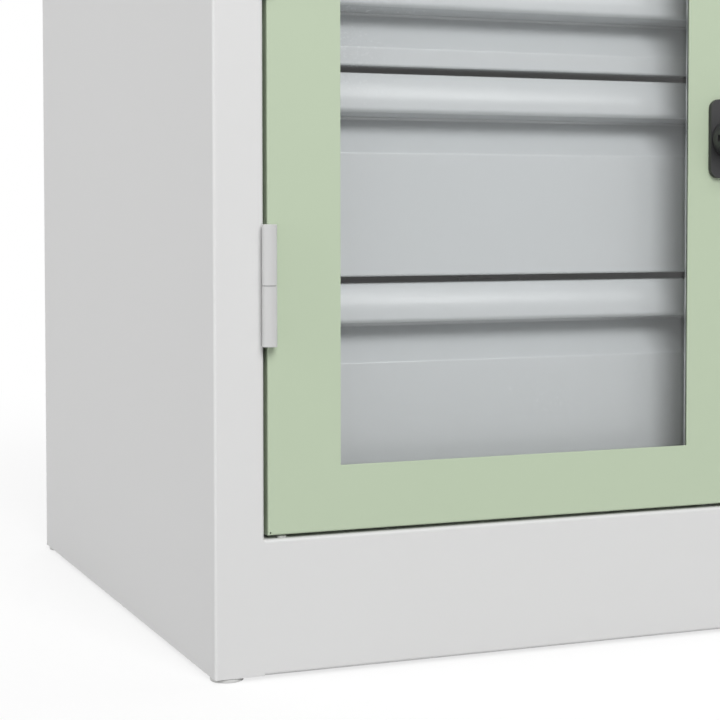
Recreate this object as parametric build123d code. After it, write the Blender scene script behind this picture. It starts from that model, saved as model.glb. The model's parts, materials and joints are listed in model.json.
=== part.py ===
from build123d import *
import math
import os

# Heavy-duty storage cabinet with one glazed door and five drawers behind it.
# X runs to the right, Y to the back, Z up; lengths are millimetres.
# The origin is on the floor, under the middle of the bounding box.

# Overall size of the body
WIDTH = 500.0
DEPTH = 600.0
HEIGHT = 750.0

# Body sheet and its folds
BODY_SHEET = 1.5
BODY_BEND = 1.0
POST_WIDTH = 38.5
JAMB_DEPTH = 30.0
STOP_LIP = 11.0
REAR_FLANGE = 20.0
PLINTH_HEIGHT = 102.0
PLINTH_FLANGE = 20.0
TOP_RAIL = 40.0
FLOOR_FLANGE = 20.0

# Rivets that hold the back panel
RIVET_RADIUS = 3.2
RIVET_HEAD = 1.2
RIVET_SHANK = 1.6
RIVET_TAIL = 3.0
RIVET_MARGIN = 45.0
RIVET_ROWS = 6
HOLE_CLEARANCE = 0.1

# Levelling feet
FOOT_DROP = 3.0
FOOT_RADIUS = 12.5
FOOT_CLEARANCE = 0.4
FOOT_EDGE = 0.5
FOOT_INSET = 12.8
FOOT_HUB_RADIUS = 8.0
FOOT_HUB_TOP = 7.0
STUD_RADIUS = 4.0
STUD_TOP = 44.0
STUD_CLEARANCE = 0.3
BRACKET_SIZE = 54.0
BRACKET_RISE = 8.0
BRACKET_SHEET = 4.0
NUT_FLATS = 13.0
NUT_HEIGHT = 6.5

# Uprights that carry the drawer rails, and the filler on the hinge side
LEFT_MOUNT = 85.0
RIGHT_MOUNT = 48.0
UPRIGHT_FRONT = 64.0
UPRIGHT_DEPTH = 30.0
UPRIGHT_REAR_GAP = 65.0
SLOT_PITCH = 25.0
SLOT_WIDTH = 4.0
SLOT_HEIGHT = 12.0
SLOT_MARGIN = 30.0
SLOT_SHARE = 0.3
RAIL_SCREW_SHARE = 0.68
FILLER_STEP = 2.0

# Door leaf
DOOR_GAP = 2.8
DOOR_SHEET = 1.2
DOOR_DEPTH = 20.0
DOOR_RETURN = 12.0
DOOR_EDGE = 1.5
STILE_WIDTH = 57.7
DOOR_RAIL = 49.7
RELIEF_RADIUS = 0.7
RELIEF_INSET = 2.0

# Clear pane and what holds it
PANE_SHEET = 4.0
PANE_LAP = 8.0
STRIP_SHEET = 2.0
STRIP_WIDTH = 15.0
STRIP_INSET = 1.5
PANE_STUD_RADIUS = 1.5
PANE_STUD_LENGTH = 9.6
PANE_STUD_OFFSET = 12.5
PANE_NUT_FLATS = 5.5
PANE_NUT_HEIGHT = 2.8
SIDE_STUD_COUNT = 4
CROSS_STUD_COUNT = 3
STUD_END_GAP = 24.0

# Door hinges
HINGE_RADIUS = 5.65
HINGE_LENGTH = 90.2
HINGE_SPLIT = 0.5
HINGE_FACE_GAP = 0.3
HINGE_EDGE_OFFSET = 0.3
HINGE_LOW_INSET = 186.0
HINGE_HIGH_INSET = 150.0
HINGE_LEAF = 1.6
HINGE_LEAF_DEPTH = 16.0
HINGE_END_WALL = 2.7
HINGE_EDGE = 0.5
PIN_RADIUS = 3.0
PIN_CLEARANCE = 0.3
WASHER_RADIUS = 4.8
WASHER_CLEARANCE = 0.1

# Door buffers and glides
BUFFER_RADIUS = 3.4
BUFFER_GAP = 0.3
BUFFER_SHARES = (0.22, 0.78)
GLIDE_OFFSET = 15.5
GLIDE_WIDTH = 7.0
GLIDE_FRONT = 4.0
GLIDE_DEPTH = 12.0
GLIDE_HEIGHT = 1.5
GLIDE_CORNER = 2.0
GLIDE_EDGE = 0.5

# Lock
LOCK_INSET = 22.0
LOCK_SHARE = 0.5
LOCK_TRAVEL = 14.0
ROSETTE_WIDTH = 34.0
ROSETTE_HEIGHT = 64.0
ROSETTE_SHEET = 4.0
ROSETTE_CORNER = 8.0
ROSETTE_SCREW_OFFSET = 25.0
SCREW_RADIUS = 2.0
SCREW_HEAD = 3.6
SCREW_HEAD_HEIGHT = 1.6
SCREW_TAIL = 5.0
DRIVE_WIDTH = 1.0
DRIVE_DEPTH = 0.8
KNOB_RADIUS = 16.0
KNOB_LENGTH = 26.0
KNOB_EDGE = 1.5
KNOB_GAP = 0.3
SCALLOPS = 10
SCALLOP_RADIUS = 3.4
SCALLOP_SINK = 1.5
CYLINDER_RADIUS = 7.0
CYLINDER_GAP = 0.3
KEYWAY_WIDTH = 1.6
KEYWAY_HEIGHT = 8.0
KEYWAY_DEPTH = 14.0
SPINDLE_SIDE = 7.0
SPINDLE_SOCKET = 8.0
SPINDLE_CLEARANCE = 0.5
CAM_FRONT = 6.0
CAM_SHEET = 3.0
CAM_RADIUS = 12.5
CAM_PIN_RADIUS = 2.0
CAM_PIN_LENGTH = 4.0
ROD_SHEET = 3.0
ROD_WIDTH = 8.0
ROD_GAP = 0.5
ROD_TIP_GAP = 0.5
YOKE_MARGIN = 2.0
YOKE_SLACK = 0.6
YOKE_LENGTH = 9.0
CASE_WALL = 1.0
CASE_HALF_WIDTH = 17.0
CASE_HALF_HEIGHT = 34.0
CASE_DEPTH = 15.0
CASE_SLACK = 1.0
GUIDE_WIDTH = 16.0
GUIDE_HEIGHT = 12.0
GUIDE_OFFSET = 60.0
GUIDE_BACK = 15.0
ROD_SLACK = 0.4
STRIKE_SLACK = 2.0

# Drawers, from the top one down
DRAWER_SHARES = (1.0, 1.0, 1.0, 2.0, 2.0)
DRAWER_GAP = 5.5
STACK_BOTTOM_GAP = 28.5
STACK_TOP_GAP = 2.5
FRONT_FACE = 45.0
FRONT_SHEET = 1.2
FRONT_BEND = 0.8
FRONT_OVERLAP = 6.0
RECESS_BACK = 71.0
RECESS_TOP = 35.0
SMALL_FLAT = 14.5
GRIP_NOSE = 38.0
GRIP_HEIGHT = 30.6
GRIP_SHOULDER = 14.0
GRIP_SETBACK = 1.0
GRIP_SHEET = 1.6
GRIP_FLOOR_DROP = 2.4
GRIP_FLOOR_GAP = 0.2
GRIP_LIP_BEND = 2.4
GRIP_TOP_BEND = 1.6
GRIP_CURVE_SHARE = 0.95
BOX_SHEET = 1.0
BOX_BEND = 0.8
BOX_RISE = 6.0
BOX_DROP = 14.0
BOX_RIM = 8.0
BOX_BACK_GAP = 70.0

# Drawer rails on the uprights and runners on the drawers
RAIL_SHEET = 1.5
RAIL_BEND = 0.8
RAIL_HEIGHT = 45.0
RAIL_REACH = 11.5
RAIL_RISE = 34.0
RAIL_FRONT_STEP = 2.0
RUNNER_SPACE = 13.0
RUNNER_HEIGHT = 35.8
RUNNER_REACH = 9.5
BALL_GAP = 0.15
BALL_OFFSET = 7.5
BALL_PITCH = 12.0
BALLS = 4
BALL_END_GAP = 20.0
RAIL_SCREW_HEAD = 4.0
RAIL_SCREW_HEIGHT = 1.4
RUNNER_RIVET_GAP = 60.0

# Positions that follow from the sizes
HALF = WIDTH / 2
INNER_HALF = HALF - BODY_SHEET
OPEN_HALF = HALF - POST_WIDTH
OPEN_BOTTOM = FOOT_DROP + PLINTH_HEIGHT
OPEN_TOP = HEIGHT - TOP_RAIL
BACK_FACE = DEPTH - BODY_SHEET - BODY_SHEET
KNOB_REACH = ROSETTE_SHEET + KNOB_GAP + KNOB_LENGTH
Y_FRONT = (KNOB_REACH - DEPTH - RIVET_HEAD) / 2
DOOR_HALF = OPEN_HALF - DOOR_GAP
DOOR_BOTTOM = OPEN_BOTTOM + DOOR_GAP
DOOR_TOP = OPEN_TOP - DOOR_GAP
WINDOW_HALF = DOOR_HALF - STILE_WIDTH
WINDOW_BOTTOM = DOOR_BOTTOM + DOOR_RAIL
WINDOW_TOP = DOOR_TOP - DOOR_RAIL
PANE_BACK = DOOR_SHEET + PANE_SHEET
HINGE_X = -DOOR_HALF - HINGE_EDGE_OFFSET
HINGE_OUT = -HINGE_RADIUS - HINGE_FACE_GAP
HINGE_HEIGHTS = (DOOR_BOTTOM + HINGE_LOW_INSET, DOOR_TOP - HINGE_HIGH_INSET)
LOCK_X = DOOR_HALF - LOCK_INSET
LOCK_Z = DOOR_BOTTOM + LOCK_SHARE * (DOOR_TOP - DOOR_BOTTOM)
CAM_BACK = CAM_FRONT + CAM_SHEET
CAM_PIN_CIRCLE = LOCK_TRAVEL / math.sqrt(2)
ROD_FRONT = CAM_BACK + ROD_GAP
ROD_BACK = ROD_FRONT + ROD_SHEET
SLOT_IN = LOCK_TRAVEL / 2 - CAM_PIN_RADIUS - YOKE_SLACK
SLOT_OUT = CAM_PIN_CIRCLE + CAM_PIN_RADIUS + YOKE_SLACK
ROD_OFFSET = (SLOT_IN + SLOT_OUT) / 2
LEFT_FACE = -HALF + LEFT_MOUNT
RIGHT_FACE = HALF - RIGHT_MOUNT
UPRIGHT_REAR = DEPTH - UPRIGHT_REAR_GAP
UPRIGHT_STARTS = (UPRIGHT_FRONT, UPRIGHT_REAR - UPRIGHT_DEPTH)
BOX_LEFT = LEFT_FACE + RUNNER_SPACE
BOX_RIGHT = RIGHT_FACE - RUNNER_SPACE
FRONT_LEFT = BOX_LEFT - FRONT_OVERLAP
FRONT_RIGHT = BOX_RIGHT + FRONT_OVERLAP
BOX_FRONT = RECESS_BACK + FRONT_SHEET
BOX_BACK = DEPTH - BOX_BACK_GAP
RAIL_FRONT = BOX_FRONT + RAIL_FRONT_STEP
STACK_BOTTOM = OPEN_BOTTOM + STACK_BOTTOM_GAP
STACK_TOP = OPEN_TOP - STACK_TOP_GAP


def block(x0, x1, d0, d1, z0, z1):
    """Box between two corners, with depth counted from the front face."""
    centre = Pos((x0 + x1) / 2, Y_FRONT + (d0 + d1) / 2, (z0 + z1) / 2)
    return centre * Box(x1 - x0, d1 - d0, z1 - z0)


def rod_x(radius, x0, x1, depth, z):
    """Round bar along X."""
    return Pos((x0 + x1) / 2, Y_FRONT + depth, z) * Rot(0, 90, 0) * Cylinder(radius, x1 - x0)


def rod_y(radius, x, d0, d1, z):
    """Round bar along Y."""
    return Pos(x, Y_FRONT + (d0 + d1) / 2, z) * Rot(90, 0, 0) * Cylinder(radius, d1 - d0)


def rod_z(radius, x, depth, z0, z1):
    """Round bar along Z."""
    return Pos(x, Y_FRONT + depth, (z0 + z1) / 2) * Cylinder(radius, z1 - z0)


def hexagon_z(flats, x, depth, z0, z1):
    """Hexagon bar along Z, measured across its flats."""
    section = RegularPolygon(flats / 2, 6, major_radius=False)
    return Pos(x, Y_FRONT + depth, z0) * extrude(section, amount=z1 - z0)


def hexagon_y(flats, x, d0, d1, z):
    """Hexagon bar along Y, measured across its flats."""
    section = RegularPolygon(flats / 2, 6, major_radius=False)
    return Pos(x, Y_FRONT + d0, z) * extrude(Plane.XZ * section, amount=d0 - d1)


def along_x(section, x0, x1):
    """Section drawn in depth and height, drawn out along X."""
    return Pos(x0, Y_FRONT, 0) * extrude(Plane.YZ * section, amount=x1 - x0)


def along_y(section, d0, d1):
    """Section drawn in width and height, drawn out along Y."""
    return Pos(0, Y_FRONT + d0, 0) * extrude(Plane.XZ * section, amount=d0 - d1)


def along_z(section, z0, z1):
    """Section drawn in width and depth, drawn out along Z."""
    return Pos(0, Y_FRONT, z0) * extrude(section, amount=z1 - z0)


def fold(points, sheet, bends):
    """Section of a folded sheet whose outside follows the points, with the sheet to their right."""
    corners = len(points) - 2
    inside = list(bends) if isinstance(bends, (list, tuple)) else [bends] * corners
    steps = [(b[0] - a[0], b[1] - a[1]) for a, b in zip(points, points[1:])]
    units = [(dx / math.hypot(dx, dy), dy / math.hypot(dx, dy)) for dx, dy in steps]
    rights = [(uy, -ux) for ux, uy in units]
    start, end = points[0], points[-1]
    inner = [(start[0] + sheet * rights[0][0], start[1] + sheet * rights[0][1])]
    path_radii = []
    inner_radii = []
    for index in range(corners):
        corner = points[index + 1]
        before, after = rights[index], rights[index + 1]
        reach = sheet / (1 + before[0] * after[0] + before[1] * after[1])
        x = corner[0] + reach * (before[0] + after[0])
        y = corner[1] + reach * (before[1] + after[1])
        inner.append((x, y))
        turn = units[index][0] * units[index + 1][1] - units[index][1] * units[index + 1][0]
        path_radii.append(inside[index] + sheet if turn < 0 else inside[index])
        inner_radii.append(inside[index] if turn < 0 else inside[index] + sheet)
    inner.append((end[0] + sheet * rights[-1][0], end[1] + sheet * rights[-1][1]))
    edges = ShapeList()
    edges += FilletPolyline(*points, radius=path_radii).edges()
    edges += FilletPolyline(*inner, radius=inner_radii).edges()
    edges += Line(start, inner[0]).edges()
    edges += Line(end, inner[-1]).edges()
    return make_face(edges)


def spread(low, high, count):
    """Evenly spaced values from low to high."""
    return [low + (high - low) * index / (count - 1) for index in range(count)]


def save(name, *solids):
    """Write one node, as a single solid or as a group of solids."""
    shape = solids[0] if len(solids) == 1 else Compound(children=list(solids))
    export_step(shape, f"parts/{name}.step")


os.makedirs("parts", exist_ok=True)

# Side panels, each folded into a front post, a jamb with a door stop, and a rear flange
post_path = [(-OPEN_HALF, 0), (-HALF, 0), (-HALF, DEPTH), (-HALF + REAR_FLANGE, DEPTH)]
jamb_path = [(-OPEN_HALF + STOP_LIP, JAMB_DEPTH), (-OPEN_HALF, JAMB_DEPTH)]
post = fold(post_path, BODY_SHEET, BODY_BEND)
post_and_jamb = fold(jamb_path + post_path, BODY_SHEET, BODY_BEND)
left_side = along_z(post, FOOT_DROP, OPEN_BOTTOM)
left_side += along_z(post_and_jamb, OPEN_BOTTOM, OPEN_TOP)
left_side += along_z(post, OPEN_TOP, HEIGHT)
rivet_x = HALF - REAR_FLANGE / 2
rivet_heights = spread(FOOT_DROP + RIVET_MARGIN, HEIGHT - RIVET_MARGIN, RIVET_ROWS)
rivet_hole = RIVET_SHANK + HOLE_CLEARANCE
left_side -= [rod_y(rivet_hole, -rivet_x, BACK_FACE, DEPTH, z) for z in rivet_heights]
right_side = mirror(left_side, about=Plane.YZ)
save("left_side_panel", left_side)
save("right_side_panel", right_side)

# Top panel, folded down at the front into the top rail
rod_slot = ROD_WIDTH / 2 + STRIKE_SLACK
upper_rod_x = LOCK_X + ROD_OFFSET
lower_rod_x = LOCK_X - ROD_OFFSET
strike_depths = (ROD_FRONT - STRIKE_SLACK, ROD_BACK + STRIKE_SLACK)
top_path = [(BODY_SHEET, HEIGHT), (BACK_FACE, HEIGHT), (BACK_FACE, HEIGHT - REAR_FLANGE)]
rail_path = [(JAMB_DEPTH, OPEN_TOP), (0, OPEN_TOP), (0, HEIGHT)] + top_path[1:]
top_wing = fold(top_path, BODY_SHEET, BODY_BEND)
top = along_x(fold(rail_path, BODY_SHEET, BODY_BEND), -OPEN_HALF, OPEN_HALF)
top += along_x(top_wing, -INNER_HALF, -OPEN_HALF)
top += along_x(top_wing, OPEN_HALF, INNER_HALF)
top -= [left_side, right_side]
top -= block(upper_rod_x - rod_slot, upper_rod_x + rod_slot, *strike_depths, OPEN_TOP, OPEN_TOP + BODY_SHEET)
save("top_panel", top)

# Plinth under the door, with its own door stop
plinth_path = [(PLINTH_FLANGE, FOOT_DROP), (0, FOOT_DROP), (0, OPEN_BOTTOM), (JAMB_DEPTH, OPEN_BOTTOM)]
plinth_stop = plinth_path + [(JAMB_DEPTH, OPEN_BOTTOM + STOP_LIP)]
plinth_end = fold(plinth_path, BODY_SHEET, BODY_BEND)
stop_half = OPEN_HALF - STOP_LIP
plinth = along_x(fold(plinth_stop, BODY_SHEET, BODY_BEND), -stop_half, stop_half)
plinth += along_x(plinth_end, -OPEN_HALF, -stop_half)
plinth += along_x(plinth_end, stop_half, OPEN_HALF)
strike_low = OPEN_BOTTOM - BODY_SHEET
plinth -= block(lower_rod_x - rod_slot, lower_rod_x + rod_slot, *strike_depths, strike_low, OPEN_BOTTOM)
save("plinth_panel", plinth)

# Bottom panel over the plinth space
floor_path = [(-INNER_HALF, OPEN_BOTTOM - FLOOR_FLANGE), (-INNER_HALF, OPEN_BOTTOM)]
floor_path += [(INNER_HALF, OPEN_BOTTOM), (INNER_HALF, OPEN_BOTTOM - FLOOR_FLANGE)]
floor = along_y(fold(floor_path, BODY_SHEET, BODY_BEND), JAMB_DEPTH + BODY_SHEET, BACK_FACE)
save("bottom_panel", floor)

# Back panel and its rivets
back_half = INNER_HALF - BODY_BEND
back = block(-back_half, back_half, BACK_FACE, DEPTH - BODY_SHEET, FOOT_DROP, HEIGHT)
rivet_places = [(side * rivet_x, z) for side in (-1, 1) for z in rivet_heights]
back -= [rod_y(rivet_hole, x, BACK_FACE, DEPTH, z) for x, z in rivet_places]
save("back_panel", back)
rivets = []
for x, z in rivet_places:
    head = rod_y(RIVET_RADIUS, x, DEPTH, DEPTH + RIVET_HEAD, z)
    head = fillet(head.edges().sort_by(Axis.Y)[-1], RIVET_HEAD / 2)
    rivets.append(head + rod_y(RIVET_SHANK, x, BACK_FACE - RIVET_TAIL, DEPTH, z))
save("back_rivets", *rivets)

# Levelling feet on brackets in the four corners
bracket_top = BRACKET_RISE + BRACKET_SHEET
foot_hole = STUD_RADIUS + STUD_CLEARANCE
foot_disc = FOOT_DROP - FOOT_CLEARANCE
brackets = []
for side, side_name in ((-1, "left"), (1, "right")):
    for row, row_name in ((0, "front"), (1, "rear")):
        x = side * (HALF - FOOT_INSET)
        depth = BACK_FACE - FOOT_INSET if row else FOOT_INSET
        x_ends = sorted((side * INNER_HALF, side * (INNER_HALF - BRACKET_SIZE)))
        start = BACK_FACE - BRACKET_SIZE if row else BODY_SHEET + BODY_BEND
        bore = rod_z(foot_hole, x, depth, BRACKET_RISE, bracket_top + NUT_HEIGHT)
        plate = block(*x_ends, start, start + BRACKET_SIZE, BRACKET_RISE, bracket_top)
        brackets.append(plate - bore)
        brackets.append(hexagon_z(NUT_FLATS, x, depth, bracket_top, bracket_top + NUT_HEIGHT) - bore)
        foot = rod_z(FOOT_RADIUS, x, depth, 0, foot_disc)
        foot = fillet(foot.edges().filter_by(GeomType.CIRCLE), FOOT_EDGE)
        foot += rod_z(FOOT_HUB_RADIUS, x, depth, foot_disc, FOOT_HUB_TOP)
        foot += rod_z(STUD_RADIUS, x, depth, FOOT_HUB_TOP, STUD_TOP)
        save(f"foot_{row_name}_{side_name}", foot)
save("foot_brackets", *brackets)

# Drawer heights, as bottom and top of each front, and the crease below the grip
unit = (STACK_TOP - STACK_BOTTOM) / sum(DRAWER_SHARES)
crease_drop = min(DRAWER_SHARES) * unit - DRAWER_GAP - SMALL_FLAT
drawers = []
level = STACK_TOP
for share in DRAWER_SHARES:
    drawers.append((level - share * unit, level - DRAWER_GAP))
    level -= share * unit
rail_heights = [low + RAIL_RISE for low, high in drawers]

# Slotted uprights behind the posts
upright_top = HEIGHT - BODY_SHEET
screw_depths = [start + RAIL_SCREW_SHARE * UPRIGHT_DEPTH for start in UPRIGHT_STARTS]
slot_count = int((upright_top - OPEN_BOTTOM - SLOT_MARGIN - SLOT_MARGIN) / SLOT_PITCH)
slot_heights = [OPEN_BOTTOM + SLOT_MARGIN + SLOT_PITCH * index for index in range(slot_count + 1)]
screw_hole = SCREW_RADIUS + HOLE_CLEARANCE


def upright(mount, start, screw_depth):
    """Upright on the left side, standing out from the side panel by the mount distance."""
    face = -HALF + mount
    end = start + UPRIGHT_DEPTH
    path = [(-INNER_HALF, end), (face, end), (face, start), (-INNER_HALF, start)]
    body = along_z(fold(path, BODY_SHEET, BODY_BEND), OPEN_BOTTOM, upright_top)
    slot = start + SLOT_SHARE * UPRIGHT_DEPTH
    cuts = []
    for z in slot_heights:
        slot_ends = (slot - SLOT_WIDTH / 2, slot + SLOT_WIDTH / 2)
        cuts.append(block(face - BODY_SHEET, face, *slot_ends, z - SLOT_HEIGHT / 2, z + SLOT_HEIGHT / 2))
    cuts += [rod_x(screw_hole, face - BODY_SHEET, face, screw_depth, z) for z in rail_heights]
    return body - cuts


left_uprights = [upright(LEFT_MOUNT, *ends) for ends in zip(UPRIGHT_STARTS, screw_depths)]
right_uprights = [upright(RIGHT_MOUNT, *ends) for ends in zip(UPRIGHT_STARTS, screw_depths)]
save("left_uprights", *left_uprights)
save("right_uprights", *[mirror(body, about=Plane.YZ) for body in right_uprights])

# Filler between the hinge-side post and the drawers
filler_front = JAMB_DEPTH + BODY_SHEET
filler_edge = LEFT_FACE + FILLER_STEP
filler_path = [(filler_edge, UPRIGHT_FRONT), (filler_edge, filler_front), (-OPEN_HALF, filler_front)]
filler = along_z(fold(filler_path, BODY_SHEET, BODY_BEND), OPEN_BOTTOM, upright_top)
save("hinge_side_filler", filler)

# Drawer rails, screwed to the uprights
rail_back = UPRIGHT_REAR


def rail(mount, z):
    """Rail on the left side, with its web on the upright."""
    face = -HALF + mount
    low, high = z - RAIL_HEIGHT / 2, z + RAIL_HEIGHT / 2
    path = [(face + RAIL_REACH, low), (face, low), (face, high), (face + RAIL_REACH, high)]
    body = along_y(fold(path, RAIL_SHEET, RAIL_BEND), RAIL_FRONT, rail_back)
    return body - [rod_x(screw_hole, face, face + RAIL_SHEET, depth, z) for depth in screw_depths]


def rail_screw(mount, depth, z):
    """Screw through a rail into an upright on the left side."""
    web = -HALF + mount + RAIL_SHEET
    head = rod_x(RAIL_SCREW_HEAD, web, web + RAIL_SCREW_HEIGHT, depth, z)
    return head + rod_x(SCREW_RADIUS, web - RAIL_SHEET - BODY_SHEET - SCREW_TAIL, web, depth, z)


right_rails = [mirror(rail(RIGHT_MOUNT, z), about=Plane.YZ) for z in rail_heights]
save("left_slide_rails", *[rail(LEFT_MOUNT, z) for z in rail_heights])
save("right_slide_rails", *right_rails)
screw_places = [(depth, z) for depth in screw_depths for z in rail_heights]
rail_screws = [rail_screw(LEFT_MOUNT, *place) for place in screw_places]
rail_screws += [mirror(rail_screw(RIGHT_MOUNT, *place), about=Plane.YZ) for place in screw_places]
save("rail_screws", *rail_screws)

# Drawers: folded front, grip strip, box and runners
ball_radius = (RAIL_HEIGHT / 2 - RAIL_SHEET - RUNNER_HEIGHT / 2) / 2 - BALL_GAP
ball_rise = RUNNER_HEIGHT / 2 + ball_radius + BALL_GAP
ball_depths = [BOX_BACK - BALL_END_GAP - BALL_PITCH * index for index in range(BALLS)]
rivet_depths = (RAIL_FRONT + RUNNER_RIVET_GAP, BOX_BACK - RUNNER_RIVET_GAP)

# Long curve of the grip, as wide as the straight stretches on either side of it allow
grip_run = FRONT_FACE + GRIP_SETBACK - GRIP_NOSE
grip_lean = math.atan2(grip_run, GRIP_SHOULDER)
lip_reach = GRIP_LIP_BEND + GRIP_SHEET
top_reach = (GRIP_TOP_BEND + GRIP_SHEET) * math.tan((math.pi / 2 - grip_lean) / 2)
straight = min(GRIP_HEIGHT - GRIP_SHOULDER - lip_reach, math.hypot(grip_run, GRIP_SHOULDER) - top_reach)
grip_curve = GRIP_CURVE_SHARE * straight / math.tan(grip_lean / 2) - GRIP_SHEET


def runner(face, side, z):
    """Runner on one side of a box, its balls and its rivets."""
    ends = (z - RUNNER_HEIGHT / 2, z + RUNNER_HEIGHT / 2)
    web = face + side * RAIL_SHEET
    tip = face + side * RUNNER_REACH
    order = ends if side < 0 else ends[::-1]
    path = [(tip, order[1]), (face, order[1]), (face, order[0]), (tip, order[0])]
    body = along_y(fold(path, RAIL_SHEET, RAIL_BEND), RAIL_FRONT, BOX_BACK)
    hole_ends = sorted((face, web))
    body -= [rod_x(rivet_hole, *hole_ends, depth, z) for depth in rivet_depths]
    pieces = [body]
    for depth in ball_depths:
        for rise in (-ball_rise, ball_rise):
            pieces.append(Pos(face + side * BALL_OFFSET, Y_FRONT + depth, z + rise) * Sphere(ball_radius))
    for depth in rivet_depths:
        head_ends = sorted((web, web + side * RIVET_HEAD))
        shank_ends = sorted((web, face - side * (BOX_SHEET + RIVET_HEAD)))
        pieces.append(rod_x(RIVET_RADIUS, *head_ends, depth, z) + rod_x(RIVET_SHANK, *shank_ends, depth, z))
    return pieces


for number, ((low, high), rail_z) in enumerate(zip(drawers, rail_heights), start=1):
    front_path = [(RECESS_BACK, low), (FRONT_FACE, low), (FRONT_FACE, high - crease_drop)]
    front_path += [(RECESS_BACK, high - RECESS_TOP), (RECESS_BACK, high - GRIP_SHEET)]
    front = along_x(fold(front_path, FRONT_SHEET, FRONT_BEND), FRONT_LEFT, FRONT_RIGHT)
    save(f"drawer_{number}_front", front)

    lip = high - GRIP_HEIGHT
    grip_path = [(RECESS_BACK - GRIP_FLOOR_GAP, lip - GRIP_FLOOR_DROP), (GRIP_NOSE, lip)]
    grip_path += [(GRIP_NOSE, high - GRIP_SHOULDER), (FRONT_FACE + GRIP_SETBACK, high), (BOX_FRONT, high)]
    grip_bends = (GRIP_LIP_BEND, grip_curve, GRIP_TOP_BEND)
    save(f"drawer_{number}_grip", along_x(fold(grip_path, GRIP_SHEET, grip_bends), FRONT_LEFT, FRONT_RIGHT))

    bottom, rim = low + BOX_RISE, high - BOX_DROP
    box_path = [(BOX_RIGHT - BOX_RIM, rim), (BOX_RIGHT, rim), (BOX_RIGHT, bottom), (BOX_LEFT, bottom)]
    box_path += [(BOX_LEFT, rim), (BOX_LEFT + BOX_RIM, rim)]
    box = along_y(fold(box_path, BOX_SHEET, BOX_BEND), BOX_FRONT, BOX_BACK)
    box_ends = (BOX_LEFT + BOX_SHEET, BOX_RIGHT - BOX_SHEET)
    for wall in (BOX_FRONT, BOX_BACK - BOX_SHEET):
        box += block(*box_ends, wall, wall + BOX_SHEET, bottom + BOX_SHEET / 2, rim)
    for depth in rivet_depths:
        box -= rod_x(rivet_hole, BOX_LEFT, BOX_LEFT + BOX_SHEET, depth, rail_z)
        box -= rod_x(rivet_hole, BOX_RIGHT - BOX_SHEET, BOX_RIGHT, depth, rail_z)
    save(f"drawer_{number}_box", box)
    save(f"drawer_{number}_runners", *runner(BOX_LEFT, -1, rail_z), *runner(BOX_RIGHT, 1, rail_z))

# Door leaf, a pan with a window and returns all round
leaf = block(-DOOR_HALF, DOOR_HALF, 0, DOOR_DEPTH, DOOR_BOTTOM, DOOR_TOP)
leaf = fillet(leaf.faces().sort_by(Axis.Y)[0].edges(), DOOR_EDGE)
in_half, in_low, in_high = DOOR_HALF - DOOR_SHEET, DOOR_BOTTOM + DOOR_SHEET, DOOR_TOP - DOOR_SHEET
leaf -= block(-in_half, in_half, DOOR_SHEET, DOOR_DEPTH - DOOR_SHEET, in_low, in_high)
rear_half = DOOR_HALF - DOOR_RETURN
rear_ends = (DOOR_BOTTOM + DOOR_RETURN, DOOR_TOP - DOOR_RETURN)
leaf -= block(-rear_half, rear_half, DOOR_DEPTH - DOOR_SHEET, DOOR_DEPTH, *rear_ends)
leaf -= block(-WINDOW_HALF, WINDOW_HALF, 0, DOOR_SHEET, WINDOW_BOTTOM, WINDOW_TOP)
relief_x = DOOR_HALF - RELIEF_INSET
for z in (DOOR_BOTTOM + RELIEF_INSET, DOOR_TOP - RELIEF_INSET):
    leaf -= [rod_y(RELIEF_RADIUS, side * relief_x, 0, DOOR_SHEET, z) for side in (-1, 1)]
spindle_bore = SPINDLE_SIDE / math.sqrt(2) + SPINDLE_CLEARANCE
rosette_heights = (LOCK_Z - ROSETTE_SCREW_OFFSET, LOCK_Z + ROSETTE_SCREW_OFFSET)
leaf -= rod_y(spindle_bore, LOCK_X, 0, DOOR_SHEET, LOCK_Z)
leaf -= [rod_y(screw_hole, LOCK_X, 0, DOOR_SHEET, z) for z in rosette_heights]
rod_hole = ROD_WIDTH / 2 + ROD_SLACK
rod_hole_depths = (ROD_FRONT - ROD_SLACK, ROD_BACK + ROD_SLACK)
leaf -= block(upper_rod_x - rod_hole, upper_rod_x + rod_hole, *rod_hole_depths, in_high, DOOR_TOP)
leaf -= block(lower_rod_x - rod_hole, lower_rod_x + rod_hole, *rod_hole_depths, DOOR_BOTTOM, in_low)
save("door_leaf", leaf)

# Clear pane, clamped behind the window by four strips on studs
pane_half = WINDOW_HALF + PANE_LAP
pane_ends = (WINDOW_BOTTOM - PANE_LAP, WINDOW_TOP + PANE_LAP)
save("vision_pane", block(-pane_half, pane_half, DOOR_SHEET, PANE_BACK, *pane_ends))
strip_in, strip_out = STRIP_INSET, STRIP_INSET + STRIP_WIDTH
strip_depths = (PANE_BACK, PANE_BACK + STRIP_SHEET)
side_ends = (WINDOW_BOTTOM - strip_in, WINDOW_TOP + strip_in)
cross_half = WINDOW_HALF + strip_out
stud_x = WINDOW_HALF + PANE_STUD_OFFSET
stud_low, stud_high = WINDOW_BOTTOM - PANE_STUD_OFFSET, WINDOW_TOP + PANE_STUD_OFFSET
stud_heights = spread(WINDOW_BOTTOM + STUD_END_GAP, WINDOW_TOP - STUD_END_GAP, SIDE_STUD_COUNT)
stud_places = [(side * stud_x, z) for side in (-1, 1) for z in stud_heights]
across = spread(-WINDOW_HALF + STUD_END_GAP, WINDOW_HALF - STUD_END_GAP, CROSS_STUD_COUNT)
stud_places += [(x, z) for x in across for z in (stud_low, stud_high)]
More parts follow.
